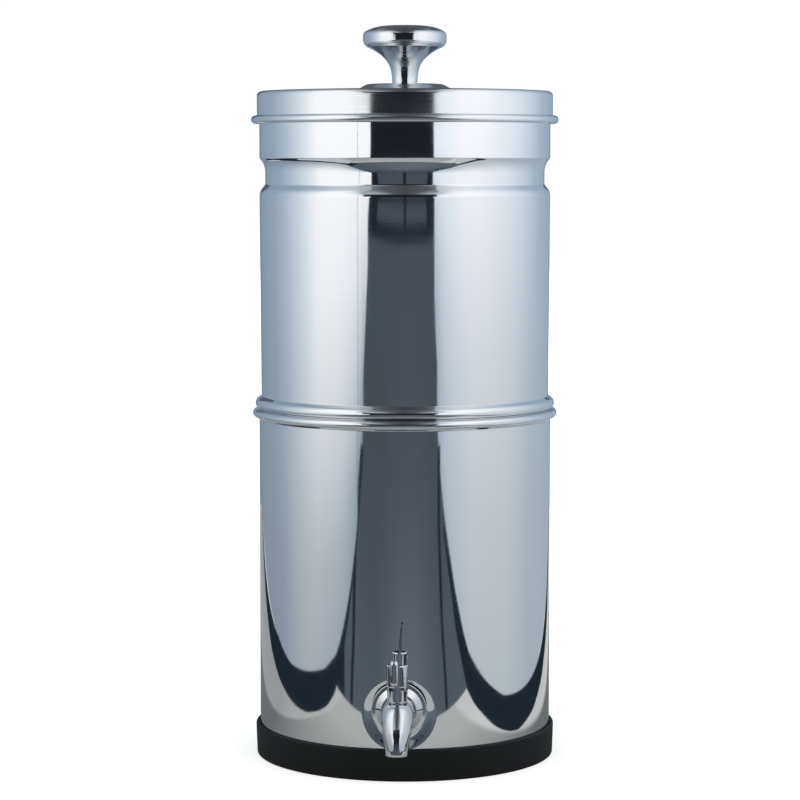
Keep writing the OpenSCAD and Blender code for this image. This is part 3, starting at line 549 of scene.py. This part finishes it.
def sector_mesh(radius, inner, low, high, start, sweep):
    """Part of a ring about the stem, from the angle start through sweep degrees."""
    mesh = bmesh.new()
    corners = [(inner, low), (radius, low), (radius, high, 0.3), (inner, high)]
    ring = [mesh.verts.new((x / 1000, 0, y / 1000)) for x, y in softened(corners)]
    first = mesh.faces.new(ring)
    bmesh.ops.rotate(mesh, cent=(0, 0, 0), matrix=Matrix.Rotation(math.radians(start), 3, "Z"), verts=ring)
    bmesh.ops.spin(mesh, geom=[first], cent=(0, 0, 0), axis=(0, 0, 1), dvec=(0, 0, 0),
                   angle=math.radians(sweep), steps=max(8, round(sweep / 4)), use_merge=False,
                   use_normal_flip=False, use_duplicate=False)
    return cleaned(mesh, on_stem())


# The bonnet's raised sector stops the handle
bonnet = piece("tap_bonnet_ring", joined(
    spun([(4, BODY_TOP_Z), (7.0, BODY_TOP_Z, 0.4), (7.26, STOP_Z, 0.2), (4, STOP_Z)], on_stem(), 96),
    sector_mesh(7.28, 4.6, STOP_Z - 0.2, STOP_Z + 2.6, STEP_DEG - STEP_SLACK_DEG - 135, 135)),
    chromed_brass, "vessel", "chrome_plate", "tap_bonnet")


# The hub with its deep stop sector, a domed rib up its front and the neck that holds the blade
RIB_R, RIB_LONG = 3.0, 12.6
handle = piece("tap_handle_hub", joined(
    spun([(0, HUB_LOW_Z), (7.5, HUB_LOW_Z, 0.25), (7.5, HUB_TOP_Z, 0.9), (0, HUB_TOP_Z)], on_stem(), 96),
    sector_mesh(7.5, 4.6, 72.6, HUB_LOW_Z + 0.2, STEP_DEG + STEP_SLACK_DEG, 133),
    spun(arc((0, 0), RIB_R, -90, 0, 8) + arc((0, RIB_LONG), RIB_R, 0, 90, 8), on_stem(-2.1, -6.4, 78.4), 40),
    spun([(0, 89.5), (4.5, 89.5), (5.3, 99.2, 1.0), (0, 99.2)], on_stem(1.5), 72)),
    chromed_brass, "tap_lever", "chrome_plate", "tap_handle")


def blade_mesh():
    """The thin blade: a plate cut to its face, bowed a little and with softened edges."""
    mesh = bmesh.new()
    tip, foot, thick, rounding = 119.2, 99.2, 0.0016, 0.00018
    face = softened([(-3.5, 91.7), (3.5, 91.7), (3.5, 101.2, 3), (6.5, 108, 6), (6.5, tip, 3.5),
                     (-6.3, tip, 2), (-4.7, 99.4, 2), (-3.5, 97)])
    ring = [mesh.verts.new((0, y / 1000, z / 1000)) for y, z in face]
    mesh.faces.new(ring)
    for z in range(100, 119, 2):
        bmesh.ops.bisect_plane(mesh, geom=mesh.verts[:] + mesh.edges[:] + mesh.faces[:], dist=MERGE,
                               plane_co=(0, 0, z / 1000), plane_no=(0, 0, 1))
    bmesh.ops.solidify(mesh, geom=mesh.faces[:], thickness=thick)
    middle = sum((v.co.x for v in mesh.verts), 0.0) / len(mesh.verts)
    bmesh.ops.translate(mesh, vec=(-middle + 0.0024, 0, 0), verts=mesh.verts[:])
    for vert in mesh.verts:
        u = max(0.0, (vert.co.z * 1000 - foot) / (tip - foot))
        vert.co.x += 0.0008 * (u * u - 0.6 * math.sin(math.pi * u) * (1 - u))
    rim_edges = [e for e in mesh.edges if e.calc_face_angle(0) > math.radians(60)]
    bmesh.ops.bevel(mesh, geom=rim_edges, offset=rounding, offset_type="OFFSET", segments=2, profile=0.5,
                    affect="EDGES", material=-1)
    return cleaned(mesh, on_stem(), 50)


blade = piece("tap_handle_blade", blade_mesh(), blade_steel, "tap_lever", "polished_steel", "handle_blade")
rivet = piece("tap_handle_rivet", spun(
    [(0, -5.2), (1.0, -5.2, 0.4), (1.0, 5.2, 0.4), (0, 5.2)],
    on_stem(1.9, 0, 95.2) @ Matrix.Rotation(math.radians(90), 4, "Y"), 32),
    bright_steel, "tap_lever", "polished_steel", "handle_rivet")
# The stem: a collar under the bonnet, the O-ring's groove, the hub's seat and a flat tang into the ball
TANG_HALF = Matrix.Diagonal((3.4, 1.45, 1, 1)) @ Matrix.Rotation(math.radians(45), 4, "Z")
stem = piece("valve_stem_spindle", joined(
    spun([(0, 59.1), (4.6, 59.1, 0.2), (4.6, 60.6, 0.2), (3.95, 60.6), (3.95, 66.05), (2.6, 66.05),
          (2.6, 67.55), (3.95, 67.55), (3.95, STOP_Z), (3, STOP_Z), (3, 86, 0.4), (0, 86)], on_stem(), 64),
    spun([(0, 55.8), (math.sqrt(2), 55.8), (math.sqrt(2), 59.5), (0, 59.5)], on_stem() @ TANG_HALF, 4)),
    turned_brass, "tap_lever", "valve_brass", "valve_stem")
# The lever casts no image in the wall behind it
for lever_piece in (handle, blade, rivet, stem):
    lever_piece.visible_glossy = False


# ---- Inside ----

def candle(side, name, node):
    """A hollow candle with a domed end; its wall is 8 mm of fired ceramic."""
    return piece(name, spun(
        [(17, 0, 0.5), (25, 0, 0.8)] + arc((0, 147), 25, 0, 90, 18) + arc((0, 147), 17, 90, 0, 12),
        shifted(side * PITCH_R, 0, 237.8), 96), fired_ceramic, "upper_vessel", "white_ceramic", node)


candle(-1, "candle_left", "candle_shell_left")
candle(1, "candle_right", "candle_shell_right")


def cup(side, name, node):
    """The moulded cup that a candle is bonded into, with a grip band and its hollow stem."""
    return piece(name, spun(
        [(3, -28.8), (5.9, -28.8, 0.6), (5.9, 0, 0.3), (28.1, 0, 1.2), (28.1, 14, 0.8), (25.1, 14, 0.4),
         (25.1, 3), (3, 3)],
        shifted(side * PITCH_R, 0, 234.8), 96), white_plastic, "upper_vessel", "white_plastic", node)


cup(-1, "candle_cup_left_moulding", "candle_cup_left")
cup(1, "candle_cup_right_moulding", "candle_cup_right")

# Solids whose shapes are right as they are keep them and get their real finish
for node_name, material in {
        "tap_gasket": black_rubber, "stem_o_ring": black_rubber, "tap_shank": turned_brass,
        "tap_inner_washer": grey_silicone, "candle_washers": grey_silicone,
        "plug_washers": grey_silicone, "tap_back_nut": white_plastic, "wing_nut_left": white_plastic,
        "wing_nut_right": white_plastic, "blanking_plugs": white_plastic, "plug_nuts": white_plastic,
        "ball_seats": seat_plastic, "valve_ball": bright_steel, "handle_grub_screw": bright_steel,
        "knob_screw": bright_steel, "knob_washer": bright_steel}.items():
    for slot in frame["nodes"][node_name].material_slots:
        slot.material = material

# ---- Studio ----

STUDIO = Matrix.Rotation(math.radians(HEADING), 4, "Z")


def staged(name, mesh, material, seen=False):
    bmesh.ops.transform(mesh, matrix=STUDIO, verts=mesh.verts[:])
    made = placed(name, mesh, material)
    made.visible_camera = seen
    made.visible_shadow = seen
    return made


def card(name, material, line, low, high):
    """An upright card that stands on a line of (x, y) points, in mm, from low to high."""
    mesh = bmesh.new()
    feet = [mesh.verts.new((x / 1000, y / 1000, low / 1000)) for x, y in line]
    edges = [mesh.edges.new(pair) for pair in zip(feet, feet[1:])]
    top = bmesh.ops.extrude_edge_only(mesh, edges=edges)["geom"]
    bmesh.ops.translate(mesh, vec=(0, 0, (high - low) / 1000),
                        verts=[item for item in top if isinstance(item, bmesh.types.BMVert)])
    return staged(name, mesh, material)


def sheet_card(name, material, line, z, seen=False):
    """A level cloth cut to the outline line of (x, y), in mm, at the height z."""
    mesh = bmesh.new()
    mesh.faces.new([mesh.verts.new((x / 1000, y / 1000, z / 1000)) for x, y in line])
    return staged(name, mesh, material, seen)


def hung_card(name, material, y, line):
    """A flat cloth cut to the outline line of (x, z), in mm, that hangs across the studio at y."""
    mesh = bmesh.new()
    mesh.faces.new([mesh.verts.new((x / 1000, y / 1000, z / 1000)) for x, z in line])
    return staged(name, mesh, material)


SCREEN_STRENGTH = 1.45


def lit_panel(name, along, heights):
    """White cloth screen lit from the front: its light falls off towards the back and the floor.
    along gives (y in mm, hex high up, hex at the floor); heights gives (z in mm, share of the first)."""
    made, tree = new_material(name)
    place = in_studio(tree)
    near, far, top = along[0][0], along[-1][0], heights[-1][0]
    run = remapped(tree, place["Y"], near, far)
    rise = remapped(tree, place["Z"], 0, top)
    high = ramped(tree, run, [((y - near) / (far - near), code) for y, code, _ in along])
    low = ramped(tree, run, [((y - near) / (far - near), code) for y, _, code in along])
    share = ramped(tree, rise, [(z / top, level) for z, level in heights])
    glowing(tree, blended(tree, share, low, high), SCREEN_STRENGTH)
    return made


def plain_card(name, code):
    """A dull dark or grey cloth."""
    made, tree = new_material(name)
    glowing(tree, linear(code))
    return made


left_screen = lit_panel(
    "left_screen_cloth",
    [(-2300, "F7F7F8", "8292A0"), (-800, "F7F7F8", "8E9BA6"), (-310, "F8F9FB", "9CA4AB"),
     (-210, "F7F7F8", "A2A9AC"), (-130, "DDE3E8", "A2A9AB"), (-40, "C4CED7", "99A1A6"),
     (85, "A9B5C3", "8992A0"), (300, "8FA0B0", "828C98"), (1000, "80909F", "7A8692")],
    [(0, 0.0), (80, 0.1), (131, 0.25), (192, 0.44), (243, 0.6), (321, 0.8), (398, 0.93), (466, 1.0),
     (750, 1.0), (1050, 0.7), (1400, 0.15), (1900, 0.0)])
right_screen = lit_panel(
    "right_screen_cloth",
    [(-2400, "E2E8F0", "96A2AE"), (-1000, "ECF1F5", "ABB6C1"), (-575, "F7F6FA", "ADB7BE"),
     (-370, "F7F7FB", "B3BABD"), (-250, "F4F5F9", "B2B9BC"), (-100, "E5E9EF", "B0B8BC"),
     (-25, "D7E0E8", "ABB2BA"), (70, "C3CFDA", "A0A9B2"), (235, "A3B1C0", "9EA8B2"),
     (600, "8E9FB0", "96A2AC"), (1500, "8899A9", "8D9BA8")],
    [(0, 0.0), (84, 0.1), (135, 0.14), (195, 0.25), (246, 0.35), (272, 0.42), (323, 0.56), (399, 0.77),
     (466, 1.0), (800, 1.0), (1050, 0.75), (1400, 0.3), (1900, 0.1)])

left_line = [(-1402, -2225), (-461, -381), (-445, -263), (-499, 7), (-577, 211), (-630, 485), (-688, 812),
             (-760, 1500)]
right_line = [(1111, -2387), (864, -1615), (680, -987), (544, -632), (449, -423), (364, -108), (379, 15),
              (406, 197), (448, 454), (480, 735), (560, 1500)]
card("screen_left", left_screen, left_line, 0, 1900)
card("screen_right", right_screen, right_line, 0, 1900)


def charcoal_paper(name, rises):
    """Charcoal paper, a little lighter in the middle: rises gives (z in mm, hex at the sides, hex in the
    middle)."""
    middle_x, reach = 230.0, 1300.0
    made, tree = new_material(name)
    place = split(tree, millimetres(tree))
    low, high = rises[0][0], rises[-1][0]
    rise = remapped(tree, place["Z"], low, high)
    sides = ramped(tree, rise, [((z - low) / (high - low), code) for z, code, _ in rises])
    middle = ramped(tree, rise, [((z - low) / (high - low), code) for z, _, code in rises])
    away = maths(tree, "ABSOLUTE", maths(tree, "SUBTRACT", place["X"], middle_x))
    glowing(tree, blended(tree, remapped(tree, away, 0.0, reach, ease="SMOOTHSTEP"), middle, sides))
    return made


# Dark space behind the camera: a charcoal backdrop with a black upper part, and black under the screens
charcoal = charcoal_paper("charcoal_paper", [(-60, "51595F", "59616A"), (278, "515A64", "555D68")])
darker = charcoal_paper("charcoal_paper_low", [
    (-700, "5E6770", "727A84"), (-400, "5C656F", "6E7680"), (-317, "585F6A", "6A727C"),
    (-250, "565E69", "646C76"), (-150, "535B66", "5E6670"), (-60, "525A64", "59616B")])
black_cloth = plain_card("black_velvet", "232C36")
night = charcoal_paper("unlit_room", [(352, "20242B", "20242B"), (950, "20252C", "20252C"),
                                      (1500, "34393F", "34393F"), (2200, "50555B", "50555B")])
card("backdrop_low", darker, [(-3800, 1500), (-3400, -2700), (3400, -2700), (3800, 1500)], -1300, -60)
card("backdrop_middle", charcoal, [(-2600, -2700), (2700, -2700)], -60, 278)
card("backdrop_dark_band", black_cloth, [(-2600, -2690), (2700, -2690)], 276, 352)
card("backdrop_top", night, [(-2600, -2700), (2700, -2700)], 352, 2200)
# Paler windows in the dark part: x of the four corners, from the upper left round, then low and high
for *line, low, high in ((-1130, -60, -60, -840, 354, 432), (44, 930, 690, 44, 354, 432),
                         (-990, -40, -40, -1060, 306, 340), (40, 760, 820, 40, 306, 340)):
    hung_card("backdrop_window", charcoal, -2680, list(zip(line, (high, high, low, low))))
card("left_seam", black_cloth, [(-906, -1239), (-896, -1248)], 0, 1900)


# The front ends of the screens lean towards each other
hung_card("flap_left", left_screen, -2225, [
    (-1402, 60), (-1363, 98), (-1323, 137), (-1284, 175), (-1245, 212), (-1208, 245), (-1200, 320),
    (-1127, 365), (-1088, 470), (-1088, 640), (-1402, 640)])
hung_card("flap_right", right_screen, -2387, [
    (1111, 85), (1073, 112), (1035, 150), (997, 200), (990, 370), (959, 470), (959, 640), (1111, 640)])
# Pale ledges below the counter's sides, which only the steep flanks of the bead and groove mirror
pale_ledge = plain_card("pale_ledge_cloth", "D3DAE1")
sheet_card("ledge_left", pale_ledge, [
    (-420, -330), (-345, -270), (-312, -190), (-314, -130), (-350, -40), (-400, 60), (-470, 240),
    (-560, 620), (-625, 620), (-560, 211), (-488, 7), (-440, -263)], -60)
sheet_card("ledge_right", pale_ledge, [
    (430, -400), (360, -110), (374, 15), (400, 197), (445, 620), (388, 620), (350, 300), (310, 100),
    (262, -10), (250, -60), (262, -130), (296, -230), (322, -300)], -60)


def skirt(name, hem):
    """The black hem under a screen: hem gives (x, y, lowest z) from the front to the back."""
    mesh = bmesh.new()
    upper = [mesh.verts.new((x / 1000, y / 1000, 0)) for x, y, _ in hem]
    lower = [mesh.verts.new((x / 1000, y / 1000, z / 1000)) for x, y, z in hem]
    for i in range(len(hem) - 1):
        mesh.faces.new([upper[i], upper[i + 1], lower[i + 1], lower[i]])
    return staged(name, mesh, black_cloth)


skirt("hem_left", [(-900, -1241, -14), (-668, -786, -15), (-599, -650, -21), (-551, -556, -21),
                   (-549, -553, -400), (-461, -381, -400), (-445, -263, -400), (-577, 211, -400),
                   (-760, 1500, -400)])
skirt("hem_right", [(812, -1455, -37), (753, -1269, -28), (708, -1127, -25), (671, -1010, -25),
                    (642, -922, -28), (615, -838, -30), (595, -776, -36), (545, -617, -40),
                    (505, -492, -48), (490, -450, -60), (449, -423, -400), (364, -108, -400),
                    (406, 197, -400), (560, 1500, -400)])

# Lamp stands in front of the backdrop, each with a leg that spreads outwards: half width, middle line
for name, wide, middle in (
        ("stand_left", 40, [(-819, 93), (-863, 53), (-925, 11), (-953, -9), (-1012, -52), (-1040, -110),
                            (-1062, -174), (-1101, -217), (-1128, -260), (-1150, -330)]),
        ("stand_right", 28, [(622, 103), (622, 0), (626, -6), (646, -42), (669, -80), (693, -118),
                             (740, -159), (789, -207), (850, -280)])):
    hung_card(name, black_cloth, -1300, [(x - wide, z) for x, z in middle] +
              [(x + wide, z) for x, z in reversed(middle)])

sheet_card("room_floor", darker, [(-3800, -2700), (3800, -2700), (3800, 1500), (-3800, 1500)], -700)


def ceiling_cloth():
    """A ceiling that is dim over the middle of the room and lit by lamps at both sides."""
    made, tree = new_material("ceiling_cloth")
    across = remapped(tree, in_studio(tree)["X"], -2000.0, 2000.0)
    glowing(tree, ramped(tree, across, [
        (0.1, "CBD2DA"), (0.3, "B8C0C9"), (0.42, "626569"), (0.5, "515357"), (0.58, "626569"),
        (0.7, "B8C0C9"), (0.9, "CBD2DA")]))
    return made


# Back wall and ceiling of the studio
back_line = [(-760, 1500), (-300, 2100), (300, 2100), (560, 1500)]
card("wall_behind", plain_card("grey_back_wall", "8597AC"), back_line, -50, 560)
card("wall_behind_high", plain_card("dim_back_wall", "5C6570"), back_line, 560, 1900)
sheet_card("ceiling_card", ceiling_cloth(), [(-2600, -2700), (2700, -2700), (2700, 2100), (-2600, 2100)],
           1900)
# Only the two screens light matt pieces
for made in bpy.data.objects:
    if made.name.startswith(("backdrop", "hem", "stand", "flap", "ledge", "left_seam", "wall_behind",
                             "ceiling", "room_floor")):
        made.visible_diffuse = False


def counter_material(name, pale, dim):
    """Pale matt laminate. To the camera it is white, and it keeps the object's shadow. In a mirror its
    colour is scaled darker towards the back, a painted shade, and its sides get a painted glow that
    stands in for light from the screens."""
    made, tree = new_material(name)
    place = millimetres(tree)
    tone = blended(tree, noise(tree, place, 0.4, 3.0), linear(pale), linear(dim))
    path = add(tree, "ShaderNodeLightPath").outputs
    across, back, _ = split(tree, place)
    # painted shade: in a mirror the laminate's colour is scaled down towards the back of the counter
    dull = maths(tree, "MULTIPLY", path["Is Glossy Ray"], remapped(tree, back, -220.0, 40.0, 1.0, 0.45))
    level = maths(tree, "ADD", dull, maths(tree, "SUBTRACT", 1.0, path["Is Glossy Ray"]))
    lit = add(tree, "ShaderNodeVectorMath", {0: tone, "Scale": level}, operation="SCALE").outputs["Vector"]
    matt = add(tree, "ShaderNodeBsdfDiffuse", {"Color": lit}).outputs["BSDF"]
    white = maths(tree, "MULTIPLY", remapped(tree, length(tree, place), 130.0, 500.0, 0.62, 1.0),
                  path["Is Camera Ray"])
    # painted light: in a mirror the counter's sides glow, standing in for light from the screens
    sides = maths(tree, "ADD", remapped(tree, across, -254.0, -272.0, to_high=0.22, ease="SMOOTHSTEP"),
                  remapped(tree, across, 206.0, 236.0, to_high=0.5, ease="SMOOTHSTEP"))
    painted_screen_glow = maths(tree, "MULTIPLY", maths(tree, "MULTIPLY", sides, remapped(tree, back, -250.0, -60.0, 0.35)),
                  path["Is Glossy Ray"])
    glow = add(tree, "ShaderNodeEmission",
               {"Color": (1, 1, 1, 1), "Strength": maths(tree, "ADD", white, painted_screen_glow)})
    finish(tree, add(tree, "ShaderNodeAddShader", {0: matt, 1: glow.outputs["Emission"]}).outputs["Shader"])
    return made


counter_finish = counter_material("pale_laminate", "DEDED8", "D5D5CF")
# The counter's edge runs near the vessel, so that the screens' black hems show round its image
sheet_card("counter", counter_finish, [
    (-337, -297), (304, -320), (293, -286), (278, -250), (269, -221), (262, -196), (253, -173), (244, -153),
    (235, -133), (229, -116), (225, -100), (222, -85), (221, -70), (221, -55), (225, -38), (235, -18),
    (247, 4), (258, 30), (268, 56), (278, 82), (289, 110), (300, 149), (311, 201), (322, 252), (334, 302),
    (342, 357), (348, 416), (354, 474), (360, 533), (367, 597), (376, 660), (390, 724), (402, 792),
    (410, 868), (423, 942), (460, 1400), (-720, 1400), (-606, 860), (-591, 781), (-575, 707), (-556, 638),
    (-541, 569), (-526, 501), (-510, 436), (-492, 378), (-473, 317), (-454, 262), (-436, 203), (-416, 148),
    (-393, 95), (-373, 48), (-352, 8), (-334, -24), (-319, -50), (-307, -73), (-297, -94), (-291, -113),
    (-288, -132), (-287, -151), (-286, -170), (-286, -190), (-290, -212), (-304, -245), (-322, -282)],
    -0.2, True)
floor = sheet_card("pale_floor", counter_finish,
                   [(-9000, -9000), (9000, -9000), (9000, 9000), (-9000, 9000)], -0.6, True)
floor.visible_glossy = False

# The world is white to the camera and in gloss, and a plain soft light for everything else
world = bpy.data.worlds.new("plain_white_room")
bpy.context.scene.world = world
world.use_nodes = True
room = world.node_tree
room.nodes.clear()
path = add(room, "ShaderNodeLightPath").outputs
sight = maths(room, "MAXIMUM", maths(room, "MAXIMUM", path["Is Camera Ray"], path["Is Glossy Ray"]),
              path["Is Transmission Ray"])
sky = add(room, "ShaderNodeBackground", {"Color": (1, 1, 1, 1),
                                         "Strength": remapped(room, sight, 0.0, 1.0, 0.75, 1.0)})
add(room, "ShaderNodeOutputWorld", {"Surface": sky.outputs["Background"]})

# ---- Camera ----

CAMERA_AWAY, CAMERA_HEIGHT = 2.056, 0.4412      # metres
CAMERA_PITCH, CAMERA_YAW = 4.941, 0.099         # degrees below level, and off the studio's heading
camera_data = bpy.data.cameras.new("camera")
camera_data.sensor_width = 36
camera_data.lens = 124.92
camera_data.clip_end = 60
camera = bpy.data.objects.new("camera", camera_data)
bpy.context.scene.collection.objects.link(camera)
camera.location = STUDIO @ Vector((0, -CAMERA_AWAY, CAMERA_HEIGHT))
camera.rotation_euler = (math.radians(90 - CAMERA_PITCH), 0, math.radians(HEADING + CAMERA_YAW))
bpy.context.scene.camera = camera
bpy.context.scene.view_settings.view_transform = "Standard"
